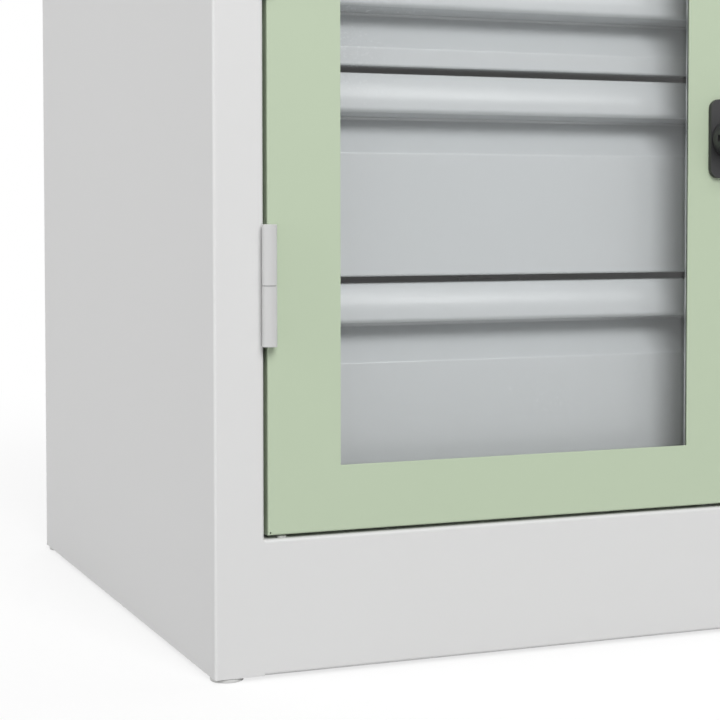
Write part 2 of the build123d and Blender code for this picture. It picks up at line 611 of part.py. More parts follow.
strips = [
    block(-cross_half, -WINDOW_HALF - strip_in, *strip_depths, *side_ends),
    block(WINDOW_HALF + strip_in, cross_half, *strip_depths, *side_ends),
    block(-cross_half, cross_half, *strip_depths, WINDOW_BOTTOM - strip_out, WINDOW_BOTTOM - strip_in),
    block(-cross_half, cross_half, *strip_depths, WINDOW_TOP + strip_in, WINDOW_TOP + strip_out),
]
stud_hole = PANE_STUD_RADIUS + HOLE_CLEARANCE
stud_bores = [rod_y(stud_hole, x, *strip_depths, z) for x, z in stud_places]
save("pane_strips", *[strip - stud_bores for strip in strips])
fixings = []
nut_depths = (strip_depths[1], strip_depths[1] + PANE_NUT_HEIGHT)
for x, z in stud_places:
    fixings.append(rod_y(PANE_STUD_RADIUS, x, DOOR_SHEET, DOOR_SHEET + PANE_STUD_LENGTH, z))
    fixings.append(hexagon_y(PANE_NUT_FLATS, x, *nut_depths, z) - rod_y(stud_hole, x, *nut_depths, z))
save("pane_fixings", *fixings)

# Door hinges: a door half above, a frame half below, a pin and a washer
door_halves, frame_halves, pins, washers = [], [], [], []
leaf_depths = (HINGE_OUT, HINGE_LEAF_DEPTH)
bore_reach = HINGE_LENGTH / 2 - HINGE_END_WALL
for z in HINGE_HEIGHTS:
    split = HINGE_SPLIT / 2
    upper, lower = (z + split, z + HINGE_LENGTH / 2), (z - HINGE_LENGTH / 2, z - split)
    knuckle = rod_z(HINGE_RADIUS, HINGE_X, HINGE_OUT, *upper)
    knuckle = fillet(knuckle.edges().sort_by(Axis.Z)[-1], HINGE_EDGE)
    knuckle += block(-DOOR_HALF - HINGE_LEAF, -DOOR_HALF, *leaf_depths, *upper)
    door_halves.append(knuckle - rod_z(PIN_RADIUS + PIN_CLEARANCE, HINGE_X, HINGE_OUT, z, z + bore_reach))
    knuckle = rod_z(HINGE_RADIUS, HINGE_X, HINGE_OUT, *lower)
    knuckle = fillet(knuckle.edges().sort_by(Axis.Z)[0], HINGE_EDGE)
    knuckle += block(-OPEN_HALF, -OPEN_HALF + HINGE_LEAF, *leaf_depths, *lower)
    frame_halves.append(knuckle - rod_z(PIN_RADIUS, HINGE_X, HINGE_OUT, z - bore_reach, z))
    pin_top = z + bore_reach - PIN_CLEARANCE
    pins.append(rod_z(PIN_RADIUS, HINGE_X, HINGE_OUT, z - bore_reach, pin_top))
    ring_ends = (z - split, z + split - WASHER_CLEARANCE)
    ring = rod_z(WASHER_RADIUS, HINGE_X, HINGE_OUT, *ring_ends)
    washers.append(ring - rod_z(PIN_RADIUS + WASHER_CLEARANCE, HINGE_X, HINGE_OUT, *ring_ends))
save("hinge_door_halves", *door_halves)
save("hinge_frame_halves", *frame_halves)
save("hinge_pins", *pins)
save("hinge_washers", *washers)

# Buffers on the door stops and glides under the door
buffer_depths = (DOOR_DEPTH + BUFFER_GAP, JAMB_DEPTH)
buffers = []
for share in BUFFER_SHARES:
    z = OPEN_BOTTOM + share * (OPEN_TOP - OPEN_BOTTOM)
    x = -OPEN_HALF + share * (OPEN_HALF + OPEN_HALF)
    buffers.append(rod_y(BUFFER_RADIUS, OPEN_HALF - STOP_LIP / 2, *buffer_depths, z))
    buffers.append(rod_y(BUFFER_RADIUS, x, *buffer_depths, OPEN_BOTTOM + STOP_LIP / 2))
save("door_buffers", *buffers)
glide_ends = (OPEN_HALF - GLIDE_OFFSET - GLIDE_WIDTH / 2, OPEN_HALF - GLIDE_OFFSET + GLIDE_WIDTH / 2)
glide_depths = (GLIDE_FRONT, GLIDE_FRONT + GLIDE_DEPTH)
glide = block(*glide_ends, *glide_depths, OPEN_BOTTOM, OPEN_BOTTOM + GLIDE_HEIGHT)
glide = fillet(glide.edges().filter_by(Axis.Z), GLIDE_CORNER)
glide = fillet(glide.edges().group_by(Axis.Z)[-1], GLIDE_EDGE)
save("door_glides", glide, mirror(glide, about=Plane.YZ))

# Lock knob with its rosette and key cylinder
rosette_half = ROSETTE_WIDTH / 2
rosette_ends = (LOCK_Z - ROSETTE_HEIGHT / 2, LOCK_Z + ROSETTE_HEIGHT / 2)
rosette = block(LOCK_X - rosette_half, LOCK_X + rosette_half, -ROSETTE_SHEET, 0, *rosette_ends)
rosette = fillet(rosette.edges().filter_by(Axis.Y), ROSETTE_CORNER)
rosette -= rod_y(spindle_bore, LOCK_X, -ROSETTE_SHEET, 0, LOCK_Z)
rosette -= [rod_y(screw_hole, LOCK_X, -ROSETTE_SHEET, 0, z) for z in rosette_heights]
save("lock_rosette", rosette)
rosette_screws = []
head_face = -ROSETTE_SHEET - SCREW_HEAD_HEIGHT
for z in rosette_heights:
    screw = rod_y(SCREW_HEAD, LOCK_X, head_face, -ROSETTE_SHEET, z)
    screw += rod_y(SCREW_RADIUS, LOCK_X, -ROSETTE_SHEET, DOOR_SHEET + SCREW_TAIL, z)
    drive = (LOCK_X - SCREW_HEAD, LOCK_X + SCREW_HEAD, head_face, head_face + DRIVE_DEPTH)
    rosette_screws.append(screw - block(*drive, z - DRIVE_WIDTH / 2, z + DRIVE_WIDTH / 2))
save("rosette_screws", *rosette_screws)
knob_back = -ROSETTE_SHEET - KNOB_GAP
knob_face = knob_back - KNOB_LENGTH
socket_end = knob_back - SPINDLE_SOCKET
knob = rod_y(KNOB_RADIUS, LOCK_X, knob_face, knob_back, LOCK_Z)
knob = fillet(knob.edges().filter_by(GeomType.CIRCLE).sort_by(Axis.Y)[0], KNOB_EDGE)
scallop_circle = KNOB_RADIUS + SCALLOP_SINK
for index in range(SCALLOPS):
    angle = math.tau * index / SCALLOPS
    x, z = LOCK_X + scallop_circle * math.cos(angle), LOCK_Z + scallop_circle * math.sin(angle)
    knob -= rod_y(SCALLOP_RADIUS, x, knob_face, socket_end, z)
knob -= rod_y(CYLINDER_RADIUS + CYLINDER_GAP, LOCK_X, knob_face, socket_end - CYLINDER_GAP, LOCK_Z)
spindle_half = SPINDLE_SIDE / 2
spindle_box = (LOCK_X - spindle_half, LOCK_X + spindle_half)
spindle_ends = (LOCK_Z - spindle_half, LOCK_Z + spindle_half)
knob -= block(*spindle_box, socket_end, knob_back, *spindle_ends)
save("lock_knob", knob)
plug_back = socket_end - CYLINDER_GAP - CYLINDER_GAP
plug = rod_y(CYLINDER_RADIUS, LOCK_X, knob_face, plug_back, LOCK_Z)
keyway = (LOCK_X - KEYWAY_WIDTH / 2, LOCK_X + KEYWAY_WIDTH / 2, knob_face, knob_face + KEYWAY_DEPTH)
plug -= block(*keyway, LOCK_Z - KEYWAY_HEIGHT / 2, LOCK_Z + KEYWAY_HEIGHT / 2)
save("lock_cylinder", plug)

# Spindle and cam that move the two lock rods
save("lock_spindle", block(*spindle_box, socket_end, CAM_BACK, *spindle_ends))
cam = rod_y(CAM_RADIUS, LOCK_X, CAM_FRONT, CAM_BACK, LOCK_Z)
pin_step = LOCK_TRAVEL / 2
for side in (-1, 1):
    pin_end = CAM_BACK + CAM_PIN_LENGTH
    cam += rod_y(CAM_PIN_RADIUS, LOCK_X + side * pin_step, CAM_BACK, pin_end, LOCK_Z - side * pin_step)
cam -= block(*spindle_box, CAM_FRONT, CAM_BACK, *spindle_ends)
save("lock_cam", cam)


def lock_rod(side, tip):
    """Flat rod with a slotted end on one cam pin, reaching to the tip height."""
    x = LOCK_X + side * ROD_OFFSET
    pin_z = LOCK_Z - side * pin_step
    yoke_half = (SLOT_OUT - SLOT_IN) / 2 + YOKE_MARGIN
    yoke_ends = sorted((pin_z - side * YOKE_LENGTH / 2, pin_z + side * YOKE_LENGTH))
    body = block(x - yoke_half, x + yoke_half, ROD_FRONT, ROD_BACK, *yoke_ends)
    shaft_ends = sorted((pin_z + side * YOKE_LENGTH, tip))
    body += block(x - ROD_WIDTH / 2, x + ROD_WIDTH / 2, ROD_FRONT, ROD_BACK, *shaft_ends)
    slot_half = (SLOT_OUT - SLOT_IN) / 2
    slot_rise = CAM_PIN_RADIUS + YOKE_SLACK
    slot_ends = (pin_z - slot_rise, pin_z + slot_rise)
    return body - block(x - slot_half, x + slot_half, ROD_FRONT, ROD_BACK, *slot_ends)


save("upper_lock_rod", lock_rod(1, DOOR_TOP - ROD_TIP_GAP))
save("lower_lock_rod", lock_rod(-1, DOOR_BOTTOM + ROD_TIP_GAP))

# Lock case over the cam, and guides for the rods
case_ends = (LOCK_Z - CASE_HALF_HEIGHT, LOCK_Z + CASE_HALF_HEIGHT)
case_sides = (LOCK_X - CASE_HALF_WIDTH, LOCK_X + CASE_HALF_WIDTH)
case_back = DOOR_SHEET + CASE_DEPTH
case = block(*case_sides, DOOR_SHEET, case_back, *case_ends)
hollow_sides = (case_sides[0] + CASE_WALL, case_sides[1] - CASE_WALL)
hollow_ends = (case_ends[0] + CASE_WALL, case_ends[1] - CASE_WALL)
case -= block(*hollow_sides, DOOR_SHEET, case_back - CASE_WALL, *hollow_ends)
rod_gate = ROD_WIDTH / 2 + CASE_SLACK
gate_depths = (ROD_FRONT - CASE_SLACK, ROD_BACK + CASE_SLACK)
case -= block(upper_rod_x - rod_gate, upper_rod_x + rod_gate, *gate_depths, hollow_ends[1], case_ends[1])
case -= block(lower_rod_x - rod_gate, lower_rod_x + rod_gate, *gate_depths, case_ends[0], hollow_ends[0])
save("lock_case", case)
guides = []
for x, z in ((upper_rod_x, DOOR_TOP - GUIDE_OFFSET), (lower_rod_x, DOOR_BOTTOM + GUIDE_OFFSET)):
    ends = (z - GUIDE_HEIGHT / 2, z + GUIDE_HEIGHT / 2)
    guide = block(x - GUIDE_WIDTH / 2, x + GUIDE_WIDTH / 2, DOOR_SHEET, GUIDE_BACK, *ends)
    guides.append(guide - block(x - rod_hole, x + rod_hole, *rod_hole_depths, *ends))
save("rod_guides", *guides)
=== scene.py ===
"""Dresses the storage cabinet: paint, plate, plastic and clear pane, its fixings and a plain studio.

Lengths are metres in the cabinet's own frame: X to the right, Y to the back, Z up, origin on the floor.
"""

import json
import logging
import math
from dataclasses import dataclass
from enum import Enum
from typing import Any, Iterable, Union

import bpy
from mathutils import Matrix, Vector


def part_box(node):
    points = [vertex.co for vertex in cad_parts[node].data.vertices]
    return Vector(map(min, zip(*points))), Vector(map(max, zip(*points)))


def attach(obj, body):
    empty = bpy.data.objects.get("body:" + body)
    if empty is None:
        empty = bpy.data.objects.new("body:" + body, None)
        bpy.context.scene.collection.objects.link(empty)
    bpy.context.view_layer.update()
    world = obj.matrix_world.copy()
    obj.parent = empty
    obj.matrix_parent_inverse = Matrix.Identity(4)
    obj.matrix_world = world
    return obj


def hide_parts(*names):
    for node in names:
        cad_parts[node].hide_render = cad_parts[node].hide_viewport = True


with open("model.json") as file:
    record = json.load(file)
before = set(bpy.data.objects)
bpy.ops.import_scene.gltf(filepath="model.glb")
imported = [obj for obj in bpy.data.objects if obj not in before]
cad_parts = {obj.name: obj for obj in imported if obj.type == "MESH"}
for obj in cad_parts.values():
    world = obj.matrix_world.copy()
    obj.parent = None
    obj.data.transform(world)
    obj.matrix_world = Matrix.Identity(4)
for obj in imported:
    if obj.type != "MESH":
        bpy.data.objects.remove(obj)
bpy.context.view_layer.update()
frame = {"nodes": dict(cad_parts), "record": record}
MM = 0.001
SMOOTH_ANGLE = math.radians(35.0)
WHITE = (1.0, 1.0, 1.0)
EVEN = (1.0, 1.0, 1.0)
LOG = logging.getLogger("cabinet")

Colour = tuple[float, float, float]
Point = tuple[float, float, float]
Key = Union[int, str]
Value = Union["Wire", float, int, bool, tuple, str]


class Facing(Enum):
    """Directions that a fixing's head can face."""

    LEFT = (-1.0, 0.0, 0.0)
    RIGHT = (1.0, 0.0, 0.0)
    FRONT = (0.0, -1.0, 0.0)
    BACK = (0.0, 1.0, 0.0)
    UP = (0.0, 0.0, 1.0)


class Drive(Enum):
    """What the middle of a fixing's head shows, as lobes of its recess; a plain recess has none."""

    ROUND = 0
    STAR = 6


@dataclass(frozen=True)
class Wire:
    """A node's output that takes part in Python sums, each of which adds a Math node."""

    bench: "Bench"
    node: bpy.types.Node
    output: Key = 0

    @property
    def socket(self) -> bpy.types.NodeSocket:
        """The output's socket."""
        return self.node.outputs[self.output]

    def math(self, operation: str, first: Value, second: Value = 0.0) -> "Wire":
        """Result of one Math node, whose second value some operations leave out."""
        return self.bench.add("ShaderNodeMath", {"operation": operation}, {0: first, 1: second})

    def __add__(self, other: Value) -> "Wire":
        """Sum."""
        return self.math("ADD", self, other)

    def __radd__(self, other: Value) -> "Wire":
        """Sum, with the wire second."""
        return self.math("ADD", other, self)

    def __sub__(self, other: Value) -> "Wire":
        """Difference."""
        return self.math("SUBTRACT", self, other)

    def __rsub__(self, other: Value) -> "Wire":
        """Difference, with the wire second."""
        return self.math("SUBTRACT", other, self)

    def __mul__(self, other: Value) -> "Wire":
        """Product."""
        return self.math("MULTIPLY", self, other)

    def __rmul__(self, other: Value) -> "Wire":
        """Product, with the wire second."""
        return self.math("MULTIPLY", other, self)

    def __truediv__(self, other: Value) -> "Wire":
        """Quotient."""
        return self.math("DIVIDE", self, other)

    def __rtruediv__(self, other: Value) -> "Wire":
        """Quotient, with the wire second."""
        return self.math("DIVIDE", other, self)


class Bench:
    """A node tree and the one method that adds nodes to it."""

    # Sockets of a Mix node that carry the share, the two colours and the mixed colour
    MIX_SHARE, MIX_FIRST, MIX_SECOND, MIX_RESULT = 0, 6, 7, 2

    def __init__(self, tree: bpy.types.NodeTree) -> None:
        """Starts with a tree, emptied."""
        self.tree = tree
        self.tree.nodes.clear()

    def add(self, kind: str, settings: dict[str, Any], inputs: dict[Key, Value], output: Key = 0) -> Wire:
        """Adds one node.

        Args:
            kind: The node's type.
            settings: Its settings, which are set first.
            inputs: Values or wires for its sockets, by name or index.
            output: Name or index of the output that is wanted.

        Returns:
            That output.
        """
        node = self.tree.nodes.new(kind)
        for key, value in settings.items():
            setattr(node, key, value)
        for key, value in inputs.items():
            if isinstance(value, Wire):
                self.tree.links.new(value.socket, node.inputs[key])
            else:
                node.inputs[key].default_value = value
        return Wire(self, node, output)

    def other(self, wire: Wire, output: Key) -> Wire:
        """Another output of the node that a wire comes from."""
        return Wire(self, wire.node, output)

    def blend(self, first: Value, second: Value, share: Value) -> Wire:
        """Two colours mixed, with the given share of the second."""
        inputs = {self.MIX_SHARE: share, self.MIX_FIRST: first, self.MIX_SECOND: second}
        return self.add("ShaderNodeMix", {"data_type": "RGBA"}, inputs, self.MIX_RESULT)


@dataclass(frozen=True)
class Grain:
    """A cloudy pattern: features in a metre, octaves, and the scale along each axis that draws it out."""

    scale: float
    octaves: float
    stretch: Point = EVEN


class PaintBench(Bench):
    """The node tree of one material, on the piece's own coordinates."""

    def __init__(self, name: str) -> None:
        """Makes the material.

        Args:
            name: The material's name.
        """
        self.material = bpy.data.materials.new(name)
        self.material.use_nodes = True
        super().__init__(self.material.node_tree)
        self.place = self.add("ShaderNodeTexCoord", {}, {}, "Object")

    def noise(self, grain: Grain) -> Wire:
        """Cloudy noise from 0 to 1.

        Args:
            grain: Its pattern.

        Returns:
            The noise.
        """
        place = self.place
        if grain.stretch != EVEN:
            place = self.add("ShaderNodeMapping", {}, {"Vector": place, "Scale": grain.stretch})
        inputs = {"Vector": place, "Scale": grain.scale, "Detail": grain.octaves}
        return self.add("ShaderNodeTexNoise", {}, inputs)

    def cells(self, scale: float) -> Wire:
        """Distance to the middle of the nearest cell, with the given number of cells in a metre."""
        return self.add("ShaderNodeTexVoronoi", {}, {"Vector": self.place, "Scale": scale}, "Distance")

    def bump(self, height: Value, depth: float) -> Wire:
        """A normal bent by a height from 0 to 1, for a depth in metres."""
        return self.add("ShaderNodeBump", {}, {"Height": height, "Strength": 1.0, "Distance": depth})

    def principled(self, **sockets: Value) -> Wire:
        """A Principled shader, with its sockets named with underscores for spaces."""
        inputs = {key.replace("_", " "): value for key, value in sockets.items()}
        return self.add("ShaderNodeBsdfPrincipled", {}, inputs)

    def show(self, shader: Wire) -> bpy.types.Material:
        """The finished material, with a shader as its surface."""
        self.add("ShaderNodeOutputMaterial", {}, {"Surface": shader})
        return self.material


def solid(colour: Colour, share: float = 1.0) -> tuple[float, float, float, float]:
    """A colour with its alpha, made lighter or darker by a share."""
    return (*(min(channel * share, 1.0) for channel in colour), 1.0)


@dataclass(frozen=True)
class PowderCoat:
    """Baked powder paint: fine orange peel, slight clouding, dust and tiny nibs."""

    slot: str
    colour: Colour
    roughness: float = 0.5
    specular: float = 0.4
    cloud: Grain = Grain(4.0, 3.0)
    peel: Grain = Grain(430.0, 1.5)
    dust: Grain = Grain(1900.0, 2.0)
    nibs_per_m: float = 95.0
    nib_slope: float = 40.0
    tint_swing: float = 0.012
    dust_tint_share: float = 0.3
    roughness_drop: float = 0.04
    roughness_swing: float = 0.05
    peel_depth: float = 0.03 * MM
    dust_height_share: float = 0.25
    nib_height_share: float = 0.5

    def material(self) -> bpy.types.Material:
        """Builds the paint.

        Returns:
            The material.
        """
        bench = PaintBench(self.slot)
        cloud, peel, dust = (bench.noise(grain) for grain in (self.cloud, self.peel, self.dust))
        slope = bench.cells(self.nibs_per_m) * self.nib_slope
        nib = 1.0 - bench.add("ShaderNodeClamp", {}, {"Value": slope})
        dark, light = (solid(self.colour, 1.0 + swing) for swing in (-self.tint_swing, self.tint_swing))
        share = cloud * (1.0 - self.dust_tint_share) + dust * self.dust_tint_share
        height = peel + self.dust_height_share * dust + self.nib_height_share * nib
        swing = self.roughness_swing
        shader = bench.principled(
            Base_Color=bench.blend(dark, light, share),
            Roughness=self.roughness - self.roughness_drop + swing * cloud + swing * peel,
            Normal=bench.bump(height, self.peel_depth),
            Specular_IOR_Level=self.specular,
        )
        return bench.show(shader)


@dataclass(frozen=True)
class PlatedMetal:
    """Plated or bare metal: drawn lines, soft crystals and a little staining."""

    slot: str
    colour: Colour
    stain: Colour
    roughness: float = 0.32
    lines: Grain = Grain(60.0, 3.0, (40.0, 1.0, 40.0))
    cloud: Grain = Grain(22.0, 3.0)
    crystals_per_m: float = 260.0
    cloud_stain_share: float = 0.55
    crystal_stain_share: float = 0.25
    roughness_drop: float = 0.08
    roughness_swing: float = 0.1
    line_depth: float = 0.012 * MM
    crystal_height_share: float = 0.4

    def material(self) -> bpy.types.Material:
        """Builds the plate.

        Returns:
            The material.
        """
        bench = PaintBench(self.slot)
        lines, cloud = bench.noise(self.lines), bench.noise(self.cloud)
        crystal = bench.cells(self.crystals_per_m)
        share = cloud * self.cloud_stain_share + crystal * self.crystal_stain_share
        swing = self.roughness_swing
        shader = bench.principled(
            Base_Color=bench.blend(solid(self.colour), solid(self.stain), share),
            Metallic=1.0,
            Roughness=self.roughness - self.roughness_drop + swing * cloud + swing * lines,
            Normal=bench.bump(lines + self.crystal_height_share * crystal, self.line_depth),
        )
        return bench.show(shader)


@dataclass(frozen=True)
class MouldedPlastic:
    """Moulded plastic or rubber with an eroded mould grain."""

    slot: str
    colour: Colour
    roughness: float = 0.5
    pits_per_m: float = 1500.0
    flow: Grain = Grain(35.0, 3.0)
    tint_swing: float = 0.05
    roughness_drop: float = 0.05
    roughness_swing: float = 0.06
    pit_depth: float = 0.04 * MM
    flow_height_share: float = 0.4

    def material(self) -> bpy.types.Material:
        """Builds the plastic.

        Returns:
            The material.
        """
        bench = PaintBench(self.slot)
        pit, flow = bench.cells(self.pits_per_m), bench.noise(self.flow)
        dark, light = (solid(self.colour, 1.0 + swing) for swing in (-self.tint_swing, self.tint_swing))
        swing = self.roughness_swing
        shader = bench.principled(
            Base_Color=bench.blend(dark, light, flow),
            Roughness=self.roughness - self.roughness_drop + swing * flow + swing * pit,
            Normal=bench.bump(pit + self.flow_height_share * flow, self.pit_depth),
        )
        return bench.show(shader)


@dataclass(frozen=True)
class ClearAcrylic:
    """Clear polished sheet: sight and light pass straight through, with a thin gloss on each face."""

    slot: str
    tint: Colour
    refraction: float = 1.49
    gloss_share: float = 0.7
    gloss_roughness: float = 0.02
    ripple: Grain = Grain(14.0, 1.0)
    ripple_depth: float = 0.004 * MM

    def material(self) -> bpy.types.Material:
        """Builds the sheet.

        Returns:
            The material.
        """
        bench = PaintBench(self.slot)
        ripple = bench.bump(bench.noise(self.ripple), self.ripple_depth)
        inputs = {"Color": solid(WHITE), "Roughness": self.gloss_roughness, "Normal": ripple}
        gloss = bench.add("ShaderNodeBsdfGlossy", {}, inputs)
        clear = bench.add("ShaderNodeBsdfTransparent", {}, {"Color": solid(self.tint)})
        mirror = bench.add("ShaderNodeFresnel", {}, {"IOR": self.refraction}) * self.gloss_share
        return bench.show(bench.add("ShaderNodeMixShader", {}, {0: mirror, 1: clear, 2: gloss}))


Finish = Union[PowderCoat, PlatedMetal, MouldedPlastic, ClearAcrylic]


class Palette:
    """Every finish on the cabinet, by the record's slot names, each made into a material once."""

    FINISHES: tuple[Finish, ...] = (
        PowderCoat("light_grey_paint", (0.71, 0.71, 0.708)),
        PowderCoat("green_paint", (0.49, 0.579, 0.426)),
        PowderCoat("grey_paint", (0.609, 0.632, 0.643), roughness=0.25, specular=0.55),
        # The hinges' grey is the body's light grey made darker: painted shade on the hinge barrels
        PowderCoat("hinge_grey_paint", (0.588, 0.588, 0.586), roughness=0.45),
        PlatedMetal("zinc_plated_steel", (0.66, 0.67, 0.68), stain=(0.55, 0.56, 0.55)),
        PlatedMetal("nickel_plate", (0.72, 0.70, 0.66), stain=(0.64, 0.61, 0.56), roughness=0.22),
        ClearAcrylic("clear_acrylic", (0.996, 0.998, 0.998)),
        MouldedPlastic("pale_grey_plastic", (0.66, 0.66, 0.65)),
        MouldedPlastic("grey_nylon", (0.16, 0.165, 0.17)),
        MouldedPlastic("black_plastic", (0.022, 0.022, 0.023), roughness=0.42),
        MouldedPlastic("black_rubber", (0.03, 0.03, 0.03), roughness=0.75, pits_per_m=900.0),
    )

    def __init__(self) -> None:
        """Makes the materials and notes each solid's slot."""
        self.materials = {finish.slot: finish.material() for finish in self.FINISHES}
        self.slots = {row["node"]: row["material_slot"] for row in frame["record"]["subparts"]}

    def paint(self, *nodes: str) -> None:
        """Gives solids of the frame the finish that the record names for them.

        Args:
            nodes: Names of the solids.
        """
        for name in nodes:
            for place in frame["nodes"][name].material_slots:
                place.material = self.materials[self.slots[name]]
            LOG.info("%s: %s", name, self.slots[name])

    def claim(self, piece: bpy.types.Object, slot: str, body: str, *nodes: str) -> None:
        """Makes a new piece ride on a body, in place of solids of the frame.

        Args:
            piece: The piece.
            slot: Its finish.
            body: The body that it moves with.
            nodes: Names of the solids that it stands for.
        """
        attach(piece, body)
        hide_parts(*nodes)
        LOG.info("%s: %s on %s, %d faces", piece.name, slot, body, len(piece.data.polygons))


def smooth(mesh: bpy.types.Mesh) -> None:
    """Shades a mesh smooth but for its sharp edges."""
    mesh.polygons.foreach_set("use_smooth", [True] * len(mesh.polygons))
    mesh.set_sharp_from_angle(angle=SMOOTH_ANGLE)


def spaced(low: float, high: float, count: int) -> list[float]:
    """Evenly spaced values from low to high."""
    return [low + (high - low) * index / (count - 1) for index in range(count)]


def turned(
    outline: list[tuple[float, float]], centre: Point, segments: int
) -> tuple[list[Point], list[tuple[int, int]], list[tuple[int, ...]]]:
    """A solid of revolution about an upright axis.

    Args:
        outline: Radius and height of each point, from the axis underneath to the axis on top.
        centre: Where the axis meets height zero.
        segments: Steps round the axis.

    Returns:
        Vertices, no loose edges, and faces.
    """
    x, y, z = centre
    rings = outline[1:-1]
    vertices = [(x, y, z + outline[0][1]), (x, y, z + outline[-1][1])]
    poles = len(vertices)
    for radius, height in rings:
        for step in range(segments):
            angle = math.tau * step / segments
            vertices.append((x + radius * math.cos(angle), y + radius * math.sin(angle), z + height))
    faces = []
    last = poles + (len(rings) - 1) * segments
    for step in range(segments):
        after = (step + 1) % segments
        faces.append((0, poles + after, poles + step))
        faces.append((1, last + step, last + after))
        for ring in range(len(rings) - 1):
            low, high = poles + ring * segments, poles + (ring + 1) * segments
            faces.append((low + step, low + after, high + after, high + step))
    return vertices, [], faces


class ShapeBench(Bench):
    """A Geometry Nodes tree that sets one shape at every point of a mesh, with named inputs."""

    # Sockets of a Random Value node that carry the least, the greatest and the drawn number
    RANDOM_LOW, RANDOM_HIGH, RANDOM_RESULT = 2, 3, 1

    def __init__(self, name: str, inputs: dict[str, str]) -> None:
        """Makes the tree and its sockets.

        Args:
            name: The tree's name.
            inputs: Socket types, by the inputs' names.
        """
        super().__init__(bpy.data.node_groups.new(name, "GeometryNodeTree"))
        sockets = {"Geometry": "Geometry", **inputs, "Seed": "Int", "Material": "Material"}
        for socket, kind in sockets.items():
            self.tree.interface.new_socket(socket, in_out="INPUT", socket_type=f"NodeSocket{kind}")
        self.tree.interface.new_socket("Geometry", in_out="OUTPUT", socket_type="NodeSocketGeometry")
        self.points = self.add("NodeGroupInput", {}, {})

    def given(self, name: str) -> Wire:
        """One of the tree's inputs."""
        return self.other(self.points, name)

    def vector(self, x: Value, y: Value, z: Value) -> Wire:
        """A vector from its parts."""
        return self.add("ShaderNodeCombineXYZ", {}, {0: x, 1: y, 2: z})

    def moved(self, shape: Wire, rise: Value) -> Wire:
        """A shape moved up."""
        inputs = {"Geometry": shape, "Translation": self.vector(0.0, 0.0, rise)}
        return self.add("GeometryNodeTransform", {}, inputs)

    def joined(self, *shapes: Wire) -> Wire:
        """Several shapes as one.

        Args:
            shapes: The shapes.

        Returns:
            All of them in one geometry.
        """
        joint = self.add("GeometryNodeJoinGeometry", {}, {})
        for shape in shapes:
            self.tree.links.new(shape.socket, joint.node.inputs[0])
        return joint

    def spread(self, shape: Wire) -> None:
        """Sets the shape at every point, turned to face its way and spun about its own axis.

        Args:
            shape: The shape, which stands on its point and faces up.
        """
        settings = {"data_type": "FLOAT_VECTOR"}
        facing = self.add("GeometryNodeInputNamedAttribute", settings, {"Name": "facing"})
        turn = self.add("FunctionNodeAlignRotationToVector", {"axis": "Z"}, {"Vector": facing})
        inputs = {self.RANDOM_LOW: 0.0, self.RANDOM_HIGH: math.tau, "Seed": self.given("Seed")}
        spin = self.add("FunctionNodeRandomValue", {"data_type": "FLOAT"}, inputs, self.RANDOM_RESULT)
        inputs = {"Axis": Facing.UP.value, "Angle": spin}
        twist = self.add("FunctionNodeAxisAngleToRotation", {}, inputs)
        settings = {"rotation_space": "LOCAL"}
        rotation = self.add("FunctionNodeRotateRotation", settings, {"Rotation": turn, "Rotate By": twist})
        inputs = {"Points": self.points, "Instance": shape, "Rotation": rotation}
        copies = self.add("GeometryNodeInstanceOnPoints", {}, inputs)
        real = self.add("GeometryNodeRealizeInstances", {}, {"Geometry": copies})
        inputs = {"Geometry": real, "Material": self.given("Material")}
        dressed = self.add("GeometryNodeSetMaterial", {}, inputs)
        self.add("NodeGroupOutput", {}, {"Geometry": dressed})

    def bake(
        self, name: str, places: Iterable[Point], facing: Facing, values: dict[str, Any]
    ) -> bpy.types.Object:
        """Runs the tree and keeps its result as a plain mesh.

        Args:
            name: The piece's name.
            places: Where the shape stands.
            facing: The way that it faces.
            values: Values of the inputs, by name.

        Returns:
            The piece, with no modifier left on it.
        """
        mesh = bpy.data.meshes.new(name)
        mesh.from_pydata(list(places), [], [])
        for row in mesh.attributes.new("facing", "FLOAT_VECTOR", "POINT").data:
            row.vector = facing.value
        piece = bpy.data.objects.new(name, mesh)
        bpy.context.scene.collection.objects.link(piece)
        modifier = piece.modifiers.new("shape", "NODES")
        modifier.node_group = self.tree
        for item in self.tree.interface.items_tree:
            if item.in_out == "INPUT" and item.name in values:
                modifier[item.identifier] = values[item.name]
        graph = bpy.context.evaluated_depsgraph_get()
        baked = bpy.data.meshes.new_from_object(piece.evaluated_get(graph), depsgraph=graph)
        piece.modifiers.clear()
        piece.data = baked
        smooth(baked)
        return piece


